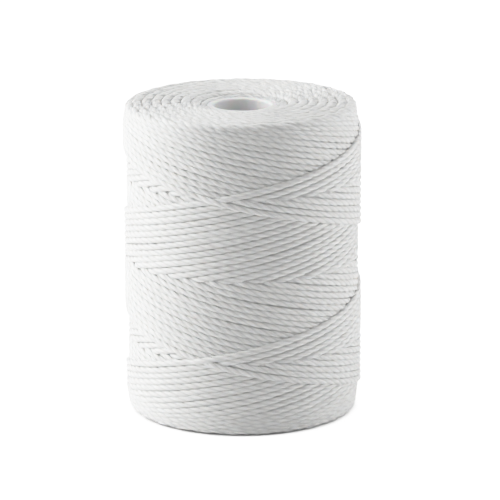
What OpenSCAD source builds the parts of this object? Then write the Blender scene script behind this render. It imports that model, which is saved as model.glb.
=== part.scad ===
// A cross-wound spool of heavy waxed thread on a plain tube core, standing on one end.
// Origin at the centre of the base, +Z along the tube. Millimetres.
//
// The winding is one long thread. It climbs and descends the package in shallow helices,
// about two turns to a stroke, and each complete set of strokes makes one double layer.

/* [Thread] */
// Width of the laid thread, and the distance between neighbouring strands
thread_d = 1.0; // [0.6:0.1:1.2]
// Height of the laid thread, pressed a little flat by the winding tension
thread_h = 0.8; // [0.5:0.05:1.0]

/* [Winding] */
// Diameter of the wound package
package_d = 38; // [30:1:46]
// Height of the wound package
package_h = 52; // [40:1:70]
// Radius of the shoulder where the outer layer turns over each end
shoulder_r = 1.2; // [0.6:0.1:1.6]
// Turns that the thread makes while it climbs the whole package once
stroke_turns = 1.98; // [1.5:0.01:2.5]

/* [Core tube] */
// Bore of the core tube
core_bore_d = 9.4; // [8:0.1:12]
// Wall thickness of the core tube
core_wall = 1.1; // [0.8:0.1:1.6]
// How far each end of the tube lies inside the end of the package
core_recess = 0.8; // [0.2:0.1:2]
// Radius that softens the tube's rims, inside and outside
core_rim_r = 0.4; // [0.1:0.05:0.4]

/* [Last wrap] */
// Angle about the tube at which the last strand leaves the base, from +X towards +Y
last_wrap_start = 69; // [0:1:360]
// Share of the package's height that the last strand has climbed where its end is tucked in
last_wrap_rise = 0.5; // [0.3:0.05:0.8]

/* [Hidden] */
layer_count = 8;
core_bore_r = core_bore_d / 2;
core_r = core_bore_r + core_wall;
core_length = package_h - 2 * core_recess;
package_r = package_d / 2;
layer_t = (package_r - core_r) / layer_count;
inner_edge_r = 0.3;
strand_sides = 8;
strand_ring_step = 2.5;
thread_color = "whitesmoke";
core_color = "white";
$fn = 96;

// Half-section of a ring with rounded outer corners, and rounded inner ones where inner_round > 0
module ring_profile(inner, outer, height, outer_round, inner_round = 0) {
    translate([inner + inner_round, 0])
        square([outer - inner - inner_round - outer_round, height]);
    translate([outer - outer_round, outer_round])
        square([outer_round, height - 2 * outer_round]);
    for (z = [outer_round, height - outer_round])
        translate([outer - outer_round, z])
            circle(r = outer_round);
    if (inner_round > 0) {
        translate([inner, inner_round])
            square([inner_round, height - 2 * inner_round]);
        for (z = [inner_round, height - inner_round])
            translate([inner + inner_round, z])
                circle(r = inner_round);
    }
}

// A plain tube with softened rims, gripped by the winding over its whole length
module core_tube() {
    color(core_color)
        translate([0, 0, core_recess])
            rotate_extrude()
                ring_profile(core_bore_r, core_r, core_length, core_rim_r, core_rim_r);
}

// One double layer of the winding, numbered from the core outwards; only the outer one has a shoulder
module thread_layer(k) {
    inner = core_r + (k - 1) * layer_t;
    edge_r = k == layer_count ? shoulder_r : inner_edge_r;
    color(thread_color)
        rotate_extrude()
            ring_profile(inner, inner + layer_t, package_h, edge_r);
}

// Path of the last strand: a helix whose flat inner side just rests on the outside of the package
last_wrap_low = shoulder_r + thread_d / 2;
last_wrap_high = package_h * last_wrap_rise;
strand_chord_sag = strand_ring_step * strand_ring_step / (8 * package_r);
last_wrap_r = package_r + thread_h / 2 * cos(180 / strand_sides) + strand_chord_sag;
last_wrap_turn = 360 * stroke_turns / package_h;
last_wrap_sweep = last_wrap_turn * (last_wrap_high - last_wrap_low);
last_wrap_length = norm([
    last_wrap_sweep * PI / 180 * last_wrap_r,
    last_wrap_high - last_wrap_low
]);
last_wrap_rings = ceil(last_wrap_length / strand_ring_step);

function helix_angle(z) = last_wrap_start + last_wrap_turn * z;

// Corner j of the strand's flattened section at height z: w stands out from the tube, v along it
function strand_corner(z, j) =
    let (
        a = 360 * (j + 0.5) / strand_sides,
        r = last_wrap_r + thread_h / 2 * cos(a),
        t = helix_angle(z)
    )
    [r * cos(t), r * sin(t), z + thread_d / 2 * sin(a)];

module last_wrap() {
    rings = [
        for (i = [0:last_wrap_rings])
            last_wrap_low + (last_wrap_high - last_wrap_low) * i / last_wrap_rings
    ];
    points = [for (z = rings) for (j = [0:strand_sides - 1]) strand_corner(z, j)];
    last_ring = last_wrap_rings * strand_sides;
    walls = [
        for (i = [0:last_wrap_rings - 1])
            for (j = [0:strand_sides - 1])
                let (
                    here = i * strand_sides,
                    next = (j + 1) % strand_sides
                )
                [here + j, here + next, here + next + strand_sides, here + j + strand_sides]
    ];
    start_cap = [for (j = [strand_sides - 1:-1:0]) j];
    end_cap = [for (j = [0:strand_sides - 1]) last_ring + j];
    color(thread_color)
        polyhedron(points = points, faces = concat(walls, [start_cap, end_cap]), convexity = 4);
}

core_tube();
for (k = [1:layer_count])
    thread_layer(k);
last_wrap();
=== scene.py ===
import math

import bpy
import numpy as np
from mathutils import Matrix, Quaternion, Vector


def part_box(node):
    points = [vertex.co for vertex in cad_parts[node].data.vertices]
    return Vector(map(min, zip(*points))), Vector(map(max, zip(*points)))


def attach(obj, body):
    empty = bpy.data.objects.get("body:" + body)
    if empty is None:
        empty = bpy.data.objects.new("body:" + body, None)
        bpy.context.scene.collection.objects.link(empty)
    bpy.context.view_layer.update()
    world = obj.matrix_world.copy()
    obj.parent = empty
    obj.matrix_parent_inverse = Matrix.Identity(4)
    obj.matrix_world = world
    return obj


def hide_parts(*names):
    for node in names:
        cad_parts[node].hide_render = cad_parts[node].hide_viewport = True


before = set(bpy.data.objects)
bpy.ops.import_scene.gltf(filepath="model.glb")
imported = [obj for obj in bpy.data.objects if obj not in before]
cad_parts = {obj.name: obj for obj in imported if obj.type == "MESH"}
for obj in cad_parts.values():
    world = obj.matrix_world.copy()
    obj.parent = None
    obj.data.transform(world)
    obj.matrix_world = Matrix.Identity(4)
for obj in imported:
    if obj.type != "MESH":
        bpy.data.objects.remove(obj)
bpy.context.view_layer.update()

MM = 0.001

# ---------------------------------------------------------------- sizes, all in metres
PACKAGE_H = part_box("thread_layer_8")[1].z
CORE_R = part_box("core_tube")[1].x

# The thread: its laid width and height, the height that it spreads to where it turns round at an
# end of the package, and the length in which its three plies go once round
THREAD_W = 1.10 * MM
THREAD_H = 0.86 * MM
TURNED_H = 1.30 * MM
PLIES = 3
LAY = 5.45 * MM
# Radius of one ply, as a share of the thread's, and how narrow the groove between plies is, which the
# material both bumps in and darkens with painted shade
PLY_SHARE = 0.70
GROOVE_SHARPNESS = 5

# The winding: LAYERS double layers of CYCLES cycles each. A cycle climbs the package and comes
# down again in TURNS turns, which is 4 less one strand's place round the package. The strokes
# before number 0 fill the space down to the tube. The last full cycle leaves the base at
# LAST_CYCLE_ANGLE, from +X towards +Y.
LAYERS = 8
CYCLES = 26
TURNS = 4 - 1 / CYCLES
LAYER_STROKES = 2 * CYCLES
FIRST_STROKE = -60
LAST_STROKE = LAYERS * LAYER_STROKES
EVERY_STROKE = np.arange(FIRST_STROKE, LAST_STROKE + 2)
LAST_CYCLE_ANGLE = math.radians(83)

# How the radius builds up: the thickness of an inner double layer and of the outermost one, on
# which nothing lies, the height of the step up over a younger strand, and half of that step's
# length, counted in crossings
OUTER_R = 19.97 * MM
LOWEST_R = CORE_R + THREAD_H / 2
LAYER_PITCH = 1.60 * MM
OUTER_PITCH = 0.95 * MM
STEP_HEIGHT = 0.45 * MM
CLIMB_OVER = 0.65

# How a strand turns back at an end: the length of thread on each side of the turn, the radius of
# the package's shoulder, and how far the turns lie inside its surface. The end is dished by DISH
# over DISH_WIDTH from the tube. All this fades out over DROP_LENGTH of thread.
TURN_ROUND = 7.0 * MM
SHOULDER_R = 2.2 * MM
END_INSET = 0.40 * MM
DISH = 0.6 * MM
DISH_WIDTH = 3.0 * MM
DROP_LENGTH = 22 * MM

# The last strand's end is tucked in TUCK_AT strokes after the last full layer, and it begins
# to dip under its neighbours at DIP_AT
DIP_AT = 0.40
TUCK_AT = 0.525

# How far the strands stray from the perfect winding: outwards, sideways, in turns of twist, and
# as a share of their width
STRAY_OUT = 0.025 * MM
STRAY_ALONG = 0.045 * MM
STRAY_LAY = 0.5
STRAY_WIDTH = 0.03


def smoothstep(x):
    x = np.clip(x, 0, 1)
    return x * x * (3 - 2 * x)


def wander(stroke, seed, slowest=3, fastest=11, waves=6):
    """A smooth random value, mostly between -1 and 1, from waves of so many periods to a stroke."""
    rng = np.random.default_rng(seed)
    rates = rng.uniform(slowest, fastest, waves)
    phases = rng.uniform(0, 2 * math.pi, waves)
    value = sum(np.sin(2 * math.pi * rate * stroke + phase) for rate, phase in zip(rates, phases))
    return value / math.sqrt(waves)


# ---------------------------------------------------------------- the thread's path
# A place along the thread is counted in strokes: stroke 2n climbs and stroke 2n+1 descends.
PATH_STEP = 0.1 * MM


def rough_radius(stroke):
    """Distance of a strand's centre from the axis where it lies on top of all before it."""
    before_end = LAST_STROKE - stroke
    outer = np.minimum(before_end, LAYER_STROKES) * OUTER_PITCH
    inner = np.maximum(before_end - LAYER_STROKES, 0) * LAYER_PITCH
    radius = OUTER_R - THREAD_H / 2 - (outer + inner) / LAYER_STROKES
    return np.maximum(radius, LOWEST_R)


def past_turn(stroke):
    """Length of thread since the nearest turn-around, negative before it."""
    return (stroke - np.round(stroke)) * math.pi * TURNS * rough_radius(stroke)


def smooth_floor(stroke):
    """The stroke's number, passing smoothly to the next one round each turn-around."""
    return np.round(stroke) - 1 + smoothstep((past_turn(stroke) / TURN_ROUND + 1) / 2)


def turned(stroke, length=TURN_ROUND):
    """1 at a turn-around, fading to 0 over a length on each side of it."""
    return 1 - smoothstep(np.abs(past_turn(stroke)) / length)


def radius_at(stroke, dip_at):
    """Distance of the strand's centre from the axis, from how the crossings stack up under it.

    A strand sinks evenly over CYCLES crossings with strands that run the other way, each older
    than the one before. Then it meets the youngest and steps up again. After dip_at it steps up
    no more, and goes under its neighbours.
    """
    number = smooth_floor(stroke)
    crossing = (CYCLES * 4 - 1) * stroke + number + 0.5
    past_step = (crossing + CYCLES / 2) % CYCLES - CYCLES / 2
    climb = smoothstep((past_step / CLIMB_OVER + 1) / 2)
    if dip_at is not None:
        climb = np.where(stroke > dip_at, 0, climb)
    sunk = past_step / CYCLES + 1 - climb
    laid = rough_radius(number) - STEP_HEIGHT * sunk
    laid = laid - turned(stroke) * (TURNED_H - THREAD_H) / 2
    laid = laid - turned(stroke, DROP_LENGTH) * END_INSET
    laid = laid + STRAY_OUT * wander(stroke, seed=1)
    return np.maximum(laid, LOWEST_R)


def end_drop(radius):
    """How far inside the package's height a turn-around is: most at the shoulder and by the tube."""
    over = np.clip(radius - (OUTER_R - THREAD_H / 2 - SHOULDER_R), 0, SHOULDER_R)
    shoulder = SHOULDER_R - np.sqrt(SHOULDER_R ** 2 - over ** 2)
    return shoulder + DISH * (1 - smoothstep((radius - LOWEST_R) / DISH_WIDTH))


def height_at(stroke, radius):
    """Height of the strand's centre: a zigzag between the ends, rounded where it turns back."""
    edge = THREAD_W / 2 + end_drop(radius) * turned(stroke, DROP_LENGTH)
    half_stroke = math.pi * TURNS * rough_radius(stroke) / 2
    rise = np.hypot(past_turn(stroke), TURN_ROUND) - TURN_ROUND
    rise = rise / (np.hypot(half_stroke, TURN_ROUND) - TURN_ROUND)
    from_end = edge + rise * (PACKAGE_H / 2 - edge)
    from_end = from_end + STRAY_ALONG * wander(stroke, seed=2) * (1 - turned(stroke))
    at_bottom = np.round(stroke) % 2 == 0
    return np.where(at_bottom, from_end, PACKAGE_H - from_end)


def thread_path(first, last, dip_at=None):
    """Places along the thread between two strokes, about PATH_STEP apart, and their centres."""
    count = int((last - first) * math.pi * TURNS * OUTER_R / PATH_STEP)
    stroke = np.linspace(first, last, count)
    radius = radius_at(stroke, dip_at)
    angle = LAST_CYCLE_ANGLE + math.pi * TURNS * (stroke - (LAST_STROKE - 2))
    height = height_at(stroke, radius)
    return stroke, np.stack([radius * np.cos(angle), radius * np.sin(angle), height], axis=1)


def twist_at(stroke):
    """How far the plies have gone round, in turns, with a lay that strays a little."""
    stroke_lengths = math.pi * TURNS * rough_radius(EVERY_STROKE[1:])
    length = np.interp(stroke, EVERY_STROKE, np.concatenate([[0], np.cumsum(stroke_lengths)]))
    return -length / LAY + STRAY_LAY * wander(stroke, seed=3, slowest=0.3, fastest=1.6)


def ply_outline(phase):
    """Radius of the outline of three equal merged circles, with 1 as the outermost."""
    spacing = 2 * math.pi / PLIES
    from_lobe = (phase + spacing / 2) % spacing - spacing / 2
    centre = 1 - PLY_SHARE
    return centre * np.cos(from_lobe) + np.sqrt(PLY_SHARE ** 2 - (centre * np.sin(from_lobe)) ** 2)


# ---------------------------------------------------------------- the thread as a mesh
# Distance between a strand's rings where it shows and where it is buried, and how far in from the
# ends of the package an inner strand still shows
FINE_STEP = 0.36 * MM
HIDDEN_STEP = 3.0 * MM
OPEN_ENDS = 2.5 * MM

# Sides of a strand's section in the outermost double layer and in the inner ones
SHOWN_SIDES = 18
INNER_SIDES = 12

# The unrolled map: the margin round it, and the share of each row's height that is used and left
# free below
MAP_MARGIN = 0.01
ROW_USED = 0.9
ROW_GAP = 0.05


def near_ends(centre):
    return (centre[:, 2] < OPEN_ENDS) | (centre[:, 2] > PACKAGE_H - OPEN_ENDS)


def everywhere(centre):
    return np.ones(len(centre), bool)


def ring_places(stroke, centre, shown):
    """Stroke, centre and length so far of each ring. The rings are close where the strand shows."""
    lengths = np.linalg.norm(np.diff(centre, axis=0), axis=1)
    step = np.where(shown(centre[1:]), FINE_STEP, HIDDEN_STEP)
    rings = np.concatenate([[0], np.cumsum(lengths / step)])
    wanted = np.linspace(0, rings[-1], max(int(rings[-1]), 2))
    length = np.concatenate([[0], np.cumsum(lengths)])
    at_ring = [np.interp(wanted, rings, values) for values in (stroke, length, *centre.T)]
    return at_ring[0], np.stack(at_ring[2:], axis=1), at_ring[1]


def unit(vectors):
    return vectors / np.linalg.norm(vectors, axis=1)[:, None]


def strand_rings(stroke, centre, shown, sides):
    """Vertices of each ring: a section of merged plies, turned by the twist so far where it shows."""
    tangent = unit(np.gradient(centre, axis=0))
    across = unit(np.cross(tangent, unit(centre * [1, 1, 0])))
    outward = np.cross(across, tangent)
    turns = twist_at(stroke)
    twist = turns[0] + np.concatenate([[0], np.cumsum(np.diff(turns) * shown(centre[1:]))])
    phase = 2 * math.pi * np.arange(sides) / sides
    lobe = ply_outline(phase)
    around = 2 * math.pi * twist[:, None] + phase[None, :]
    width = THREAD_W * (1 + STRAY_WIDTH * wander(stroke, seed=4))
    height = THREAD_H + (TURNED_H - THREAD_H) * turned(stroke)
    out = lobe * np.sin(around) * height[:, None] / 2
    side = lobe * np.cos(around) * width[:, None] / 2
    from_centre = across[:, None, :] * side[:, :, None] + outward[:, None, :] * out[:, :, None]
    return centre[:, None, :] + from_centre


def tube_mesh(name, rings):
    """A closed tube through rings of vertices, its two ends capped."""
    count, sides = rings.shape[:2]
    start = np.arange(count - 1)[:, None] * sides
    here = np.arange(sides)[None, :]
    beside = (here + 1) % sides
    quads = np.stack([start + here, start + sides + here, start + sides + beside, start + beside], axis=2)
    quads = quads.reshape(-1, 4)
    caps = np.concatenate([np.arange(sides), (count - 1) * sides + np.arange(sides)[::-1]])
    mesh = bpy.data.meshes.new(name)
    mesh.vertices.add(count * sides)
    mesh.vertices.foreach_set("co", rings.astype(np.float32).ravel())
    mesh.loops.add(quads.size + caps.size)
    mesh.loops.foreach_set("vertex_index", np.concatenate([quads.ravel(), caps]).astype(np.int32))
    mesh.polygons.add(len(quads) + 2)
    starts = np.append(np.arange(len(quads) + 1) * 4, quads.size + sides)
    mesh.polygons.foreach_set("loop_start", starts.astype(np.int32))
    smooth = np.ones(len(quads) + 2, bool)
    smooth[-2:] = False
    mesh.polygons.foreach_set("use_smooth", smooth)
    mesh.update(calc_edges=True)
    return mesh


def add_strand_place(mesh, length, sides):
    """Gives each vertex its place on the thread: length along it, side, and depth between plies, which
    the material uses for a bump and for painted shade.
    """
    phase = np.tile(2 * math.pi * np.arange(sides) / sides, len(length))
    place = np.stack([np.repeat(length, sides) / MM, np.cos(phase), np.sin(phase)], axis=1)
    attribute = mesh.attributes.new("strand", "FLOAT_VECTOR", "POINT")
    attribute.data.foreach_set("vector", place.astype(np.float32).ravel())
    groove = (0.5 - 0.5 * np.cos(PLIES * phase)) ** GROOVE_SHARPNESS
    attribute = mesh.attributes.new("groove", "FLOAT", "POINT")
    attribute.data.foreach_set("value", groove.astype(np.float32))


def add_unrolled_map(mesh, length, sides):
    """A UV map that unrolls the tube and lays it out in rows, for baking."""
    girth = math.pi * (THREAD_W + THREAD_H) / 2
    rows = max(int(math.sqrt(length[-1] / girth)), 1)
    row_length = length[-1] / rows
    row = np.minimum((length[:-1] / row_length).astype(int), rows - 1)
    scale = (1 - 2 * MAP_MARGIN) / (row_length + HIDDEN_STEP)
    left = MAP_MARGIN + (length[:-1] - row * row_length) * scale
    right = left + np.diff(length) * scale
    side = np.arange(sides + 1) * ROW_USED / sides + ROW_GAP
    up = (row[:, None] + side[None, :]) / rows
    left, right = (np.repeat(u[:, None], sides, axis=1) for u in (left, right))
    corners = [(left, up[:, :-1]), (right, up[:, :-1]), (right, up[:, 1:]), (left, up[:, 1:])]
    quads = np.stack([np.stack(corner, axis=2) for corner in corners], axis=2).reshape(-1, 2)
    caps = np.full((2 * sides, 2), MAP_MARGIN / 2)
    layer = mesh.uv_layers.new(name="OFBake")
    layer.data.foreach_set("uv", np.concatenate([quads, caps]).astype(np.float32).ravel())


def build_run(name, first, last, node, shown, dip_at=None, sides=SHOWN_SIDES):
    """The piece of thread between two strokes, in place of its CAD node."""
    stroke, centre, length = ring_places(*thread_path(first, last, dip_at), shown)
    mesh = tube_mesh(name, strand_rings(stroke, centre, shown, sides))
    add_strand_place(mesh, length, sides)
    add_unrolled_map(mesh, length, sides)
    mesh.materials.append(THREAD)
    piece = bpy.data.objects.new(name, mesh)
    bpy.context.scene.collection.objects.link(piece)
    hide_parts(node)
    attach(piece, "root")


# ---------------------------------------------------------------- materials
# Places of the colour mix's sockets, which share their names with the mixes of other kinds
MIX_FACTOR = 0
MIX_A = 6
MIX_B = 7
MIXED = 2


def new_material(name, **settings):
    """A material and its shader, with the shader's plain settings, such as Sheen_Weight=0.1."""
    material = bpy.data.materials.new(name)
    material.use_nodes = True
    shader = material.node_tree.nodes["Principled BSDF"]
    for key, value in settings.items():
        shader.inputs[key.replace("_", " ")].default_value = value
    return material, shader


def add_node(material, kind, inputs=(), **settings):
    """A node with its settings and plain input values, and links where an input is a socket."""
    node = material.node_tree.nodes.new(kind)
    for key, value in settings.items():
        setattr(node, key, value)
    for key, value in dict(inputs).items():
        if isinstance(value, bpy.types.NodeSocket):
            material.node_tree.links.new(value, node.inputs[key])
        else:
            node.inputs[key].default_value = value
    return node


def ramp(material, factor, *stops):
    """A colour ramp from one position's colour to the other's."""
    node = add_node(material, "ShaderNodeValToRGB", {"Fac": factor})
    elements = node.color_ramp.elements
    for element, (position, colour) in zip(elements, stops):
        element.position = position
        element.color = (*colour, 1)
    return node.outputs["Color"]


def thread_material():
    """White waxed polyester: fine streaks along the plies, patches where the wax is thicker, and painted
    shade in the grooves between plies.
    """
    material, shader = new_material("waxed_thread", Subsurface_Weight=0.6, Subsurface_Scale=0.18 * MM,
                                    Subsurface_Radius=(1, 0.95, 0.9), Sheen_Weight=0.06,
                                    Sheen_Roughness=0.4)
    link = material.node_tree.links.new
    place = add_node(material, "ShaderNodeAttribute", attribute_name="strand").outputs["Vector"]
    streaks = add_node(material, "ShaderNodeMapping", {"Vector": place, "Scale": (0.5, 4.5, 4.5)})
    fibres = add_node(material, "ShaderNodeTexNoise",
                      {"Vector": streaks.outputs["Vector"], "Scale": 2.0, "Detail": 4})
    stretched = add_node(material, "ShaderNodeMapping", {"Vector": place, "Scale": (0.12, 0.5, 0.5)})
    wax = add_node(material, "ShaderNodeTexNoise",
                   {"Vector": stretched.outputs["Vector"], "Scale": 1.6, "Detail": 2})
    both = add_node(material, "ShaderNodeMix",
                    {"Factor": 0.4, "A": fibres.outputs["Fac"], "B": wax.outputs["Fac"]})
    tone = ramp(material, both.outputs["Result"], (0.32, (0.80, 0.80, 0.79)), (0.66, (0.91, 0.91, 0.905)))
    groove = add_node(material, "ShaderNodeAttribute", attribute_name="groove").outputs["Fac"]
    # Painted shade: the colour is darkened towards 0.74 in the grooves between plies, where little light
    # gets in
    groove_painted_shade = add_node(material, "ShaderNodeMix",
                      {MIX_FACTOR: groove, MIX_A: tone, MIX_B: (0.74, 0.74, 0.73, 1)}, data_type="RGBA")
    link(groove_painted_shade.outputs[MIXED], shader.inputs["Base Color"])
    rough = add_node(material, "ShaderNodeMapRange",
                     {"Value": wax.outputs["Fac"], "From Min": 0.3, "From Max": 0.7,
                      "To Min": 0.38, "To Max": 0.58})
    link(rough.outputs["Result"], shader.inputs["Roughness"])
    creases = add_node(material, "ShaderNodeBump",
                       {"Height": groove, "Strength": 0.35, "Distance": 0.06 * MM}, invert=True)
    bump = add_node(material, "ShaderNodeBump",
                    {"Height": fibres.outputs["Fac"], "Strength": 0.35, "Distance": 0.03 * MM,
                     "Normal": creases.outputs["Normal"]})
    link(bump.outputs["Normal"], shader.inputs["Normal"])
    return material


def core_material():
    """White moulded plastic with a faint mottle and a fine satin grain."""
    material, shader = new_material("core_plastic", Subsurface_Weight=0.3, Subsurface_Scale=0.8 * MM)
    link = material.node_tree.links.new
    place = add_node(material, "ShaderNodeTexCoord").outputs["Object"]
    mottle = add_node(material, "ShaderNodeTexNoise", {"Vector": place, "Scale": 350, "Detail": 3})
    tone = ramp(material, mottle.outputs["Fac"], (0.3, (0.87, 0.87, 0.87)), (0.7, (0.93, 0.93, 0.925)))
    link(tone, shader.inputs["Base Color"])
    grain = add_node(material, "ShaderNodeTexNoise", {"Vector": place, "Scale": 4000, "Detail": 2})
    rough = add_node(material, "ShaderNodeMapRange",
                     {"Value": mottle.outputs["Fac"], "To Min": 0.34, "To Max": 0.52})
    link(rough.outputs["Result"], shader.inputs["Roughness"])
    bump = add_node(material, "ShaderNodeBump",
                    {"Height": grain.outputs["Fac"], "Strength": 0.15, "Distance": 0.02 * MM})
    link(bump.outputs["Normal"], shader.inputs["Normal"])
    return material


# ---------------------------------------------------------------- camera, floor and light
# The camera stands in front of CENTRE, looks at AIM, and is raised and rolled by these angles. Its
# focal length is in millimetres, for a sensor 36 mm wide.
CENTRE = Vector((0, 0, PACKAGE_H / 2))
AIM = CENTRE + Vector((1.19 * MM, 0, 0.44 * MM))
DISTANCE = 0.526
ELEVATION = math.radians(14.7)
ROLL = math.radians(-0.3)
LENS = 228
SENSOR = 36

# The floor's side, and the light that is added to it for the eye alone: none inside BASE_R, and
# FLOOR_LIFT once past FLOOR_FADE more
FLOOR_SIZE = 6.0
BASE_R = 18 * MM
FLOOR_FADE = 1.5 * MM
FLOOR_LIFT = 1.0

# How brightly the room itself lights the object
WORLD_LIGHT = 0.02

# The linear brightness that is shown as white, and how tones below it are shown
BRIGHTEST = 1.5
TONES = ((0.40, 0.40), (0.80, 0.80), (1.10, 0.945))

# Each light's place, its width and height, and its power in watts. All of them face CENTRE.
LIGHTS = {
    "key_left": ((-0.45, -0.04, 0.10), (0.60, 0.50), 2.15),
    "left_high": ((-0.35, -0.05, 0.35), (0.60, 0.60), 1.30),
    "fill_right": ((0.45, -0.03, 0.12), (0.30, 0.30), 1.20),
    "overhead": ((0, 0.10, 0.60), (0.60, 0.60), 1.30),
    "high_back": ((0, 0.30, 0.45), (0.40, 0.30), 0.40),
    "back_right": ((0.30, 0.40, 0.20), (0.30, 0.30), 0.30),
}


def facing(place, aim):
    return (Vector(aim) - Vector(place)).to_track_quat("-Z", "Y")


def add_camera():
    data = bpy.data.cameras.new("camera")
    data.sensor_width = SENSOR
    data.lens = LENS
    data.clip_start = 0.01
    data.clip_end = 20
    camera = bpy.data.objects.new("camera", data)
    bpy.context.scene.collection.objects.link(camera)
    camera.location = CENTRE + DISTANCE * Vector((0, -math.cos(ELEVATION), math.sin(ELEVATION)))
    camera.rotation_euler = (facing(camera.location, AIM) @ Quaternion((0, 0, 1), ROLL)).to_euler()
    bpy.context.scene.camera = camera


def add_light(name, place, size, watts):
    data = bpy.data.lights.new(name, "AREA")
    data.shape = "RECTANGLE"
    data.size, data.size_y = size
    data.energy = watts
    light = bpy.data.objects.new(name, data)
    bpy.context.scene.collection.objects.link(light)
    light.location = place
    light.rotation_euler = facing(place, CENTRE).to_euler()


def add_floor():
    """A pale floor. Past the object's base it is lifted to white for the eye alone."""
    half = FLOOR_SIZE / 2
    mesh = bpy.data.meshes.new("floor")
    corners = [(-half, -half, 0), (half, -half, 0), (half, half, 0), (-half, half, 0)]
    mesh.from_pydata(corners, [], [(0, 1, 2, 3)])
    floor = bpy.data.objects.new("floor", mesh)
    bpy.context.scene.collection.objects.link(floor)
    material, shader = new_material("floor_white", Base_Color=(0.96, 0.96, 0.96, 1), Roughness=0.7,
                                    Emission_Color=(1, 1, 1, 1))
    place = add_node(material, "ShaderNodeTexCoord").outputs["Object"]
    away = add_node(material, "ShaderNodeVectorMath", {0: place}, operation="LENGTH")
    lift = add_node(material, "ShaderNodeMapRange",
                    {"Value": away.outputs["Value"], "From Min": BASE_R,
                     "From Max": BASE_R + FLOOR_FADE, "To Min": 0, "To Max": FLOOR_LIFT})
    seen = add_node(material, "ShaderNodeLightPath").outputs["Is Camera Ray"]
    glow = add_node(material, "ShaderNodeMath", {0: lift.outputs["Result"], 1: seen},
                    operation="MULTIPLY")
    material.node_tree.links.new(glow.outputs["Value"], shader.inputs["Emission Strength"])
    mesh.materials.append(material)


def add_world():
    """A dim room that is seen as white."""
    world = bpy.data.worlds.new("studio")
    world.use_nodes = True
    background = world.node_tree.nodes["Background"]
    background.inputs["Color"].default_value = (1, 1, 1, 1)
    seen = add_node(world, "ShaderNodeLightPath").outputs["Is Camera Ray"]
    strength = add_node(world, "ShaderNodeMapRange",
                        {"Value": seen, "To Min": WORLD_LIGHT, "To Max": BRIGHTEST})
    world.node_tree.links.new(strength.outputs["Result"], background.inputs["Strength"])
    bpy.context.scene.world = world


def set_tone_curve():
    """The plain display, with the brightest tones eased in so that bright thread keeps its detail."""
    view = bpy.context.scene.view_settings
    view.view_transform = "Standard"
    view.use_curve_mapping = True
    mapping = view.curve_mapping
    mapping.white_level = [BRIGHTEST] * 3
    combined = mapping.curves[-1]  # after red, green and blue
    for linear, shown in TONES:
        combined.points.new(linear / BRIGHTEST, shown)
    mapping.update()


# ---------------------------------------------------------------- the object and its stage
THREAD = thread_material()

add_camera()
build_run("first_turns_thread", FIRST_STROKE, 0, "thread_layer_1", near_ends, sides=INNER_SIDES)
for layer in range(1, LAYERS):
    end = LAYER_STROKES * layer
    build_run(f"layer_{layer}_thread", end - LAYER_STROKES, end, f"thread_layer_{layer}", near_ends,
              sides=INNER_SIDES)

# The outermost double layer is split every few strokes, so that no mesh is too large
RUN_STROKES = 6
for run, start in enumerate(range(LAST_STROKE - LAYER_STROKES, LAST_STROKE, RUN_STROKES), 1):
    end = min(start + RUN_STROKES, LAST_STROKE)
    build_run(f"layer_{LAYERS}_thread_{run}", start, end, f"thread_layer_{LAYERS}", everywhere)
build_run("last_wrap_thread", LAST_STROKE, LAST_STROKE + TUCK_AT, "last_wrap", everywhere,
          LAST_STROKE + DIP_AT)

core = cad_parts["core_tube"]
core.data.materials.clear()
core.data.materials.append(core_material())

for light, (place, size, watts) in LIGHTS.items():
    add_light(light, place, size, watts)
add_floor()
add_world()
set_tone_curve()
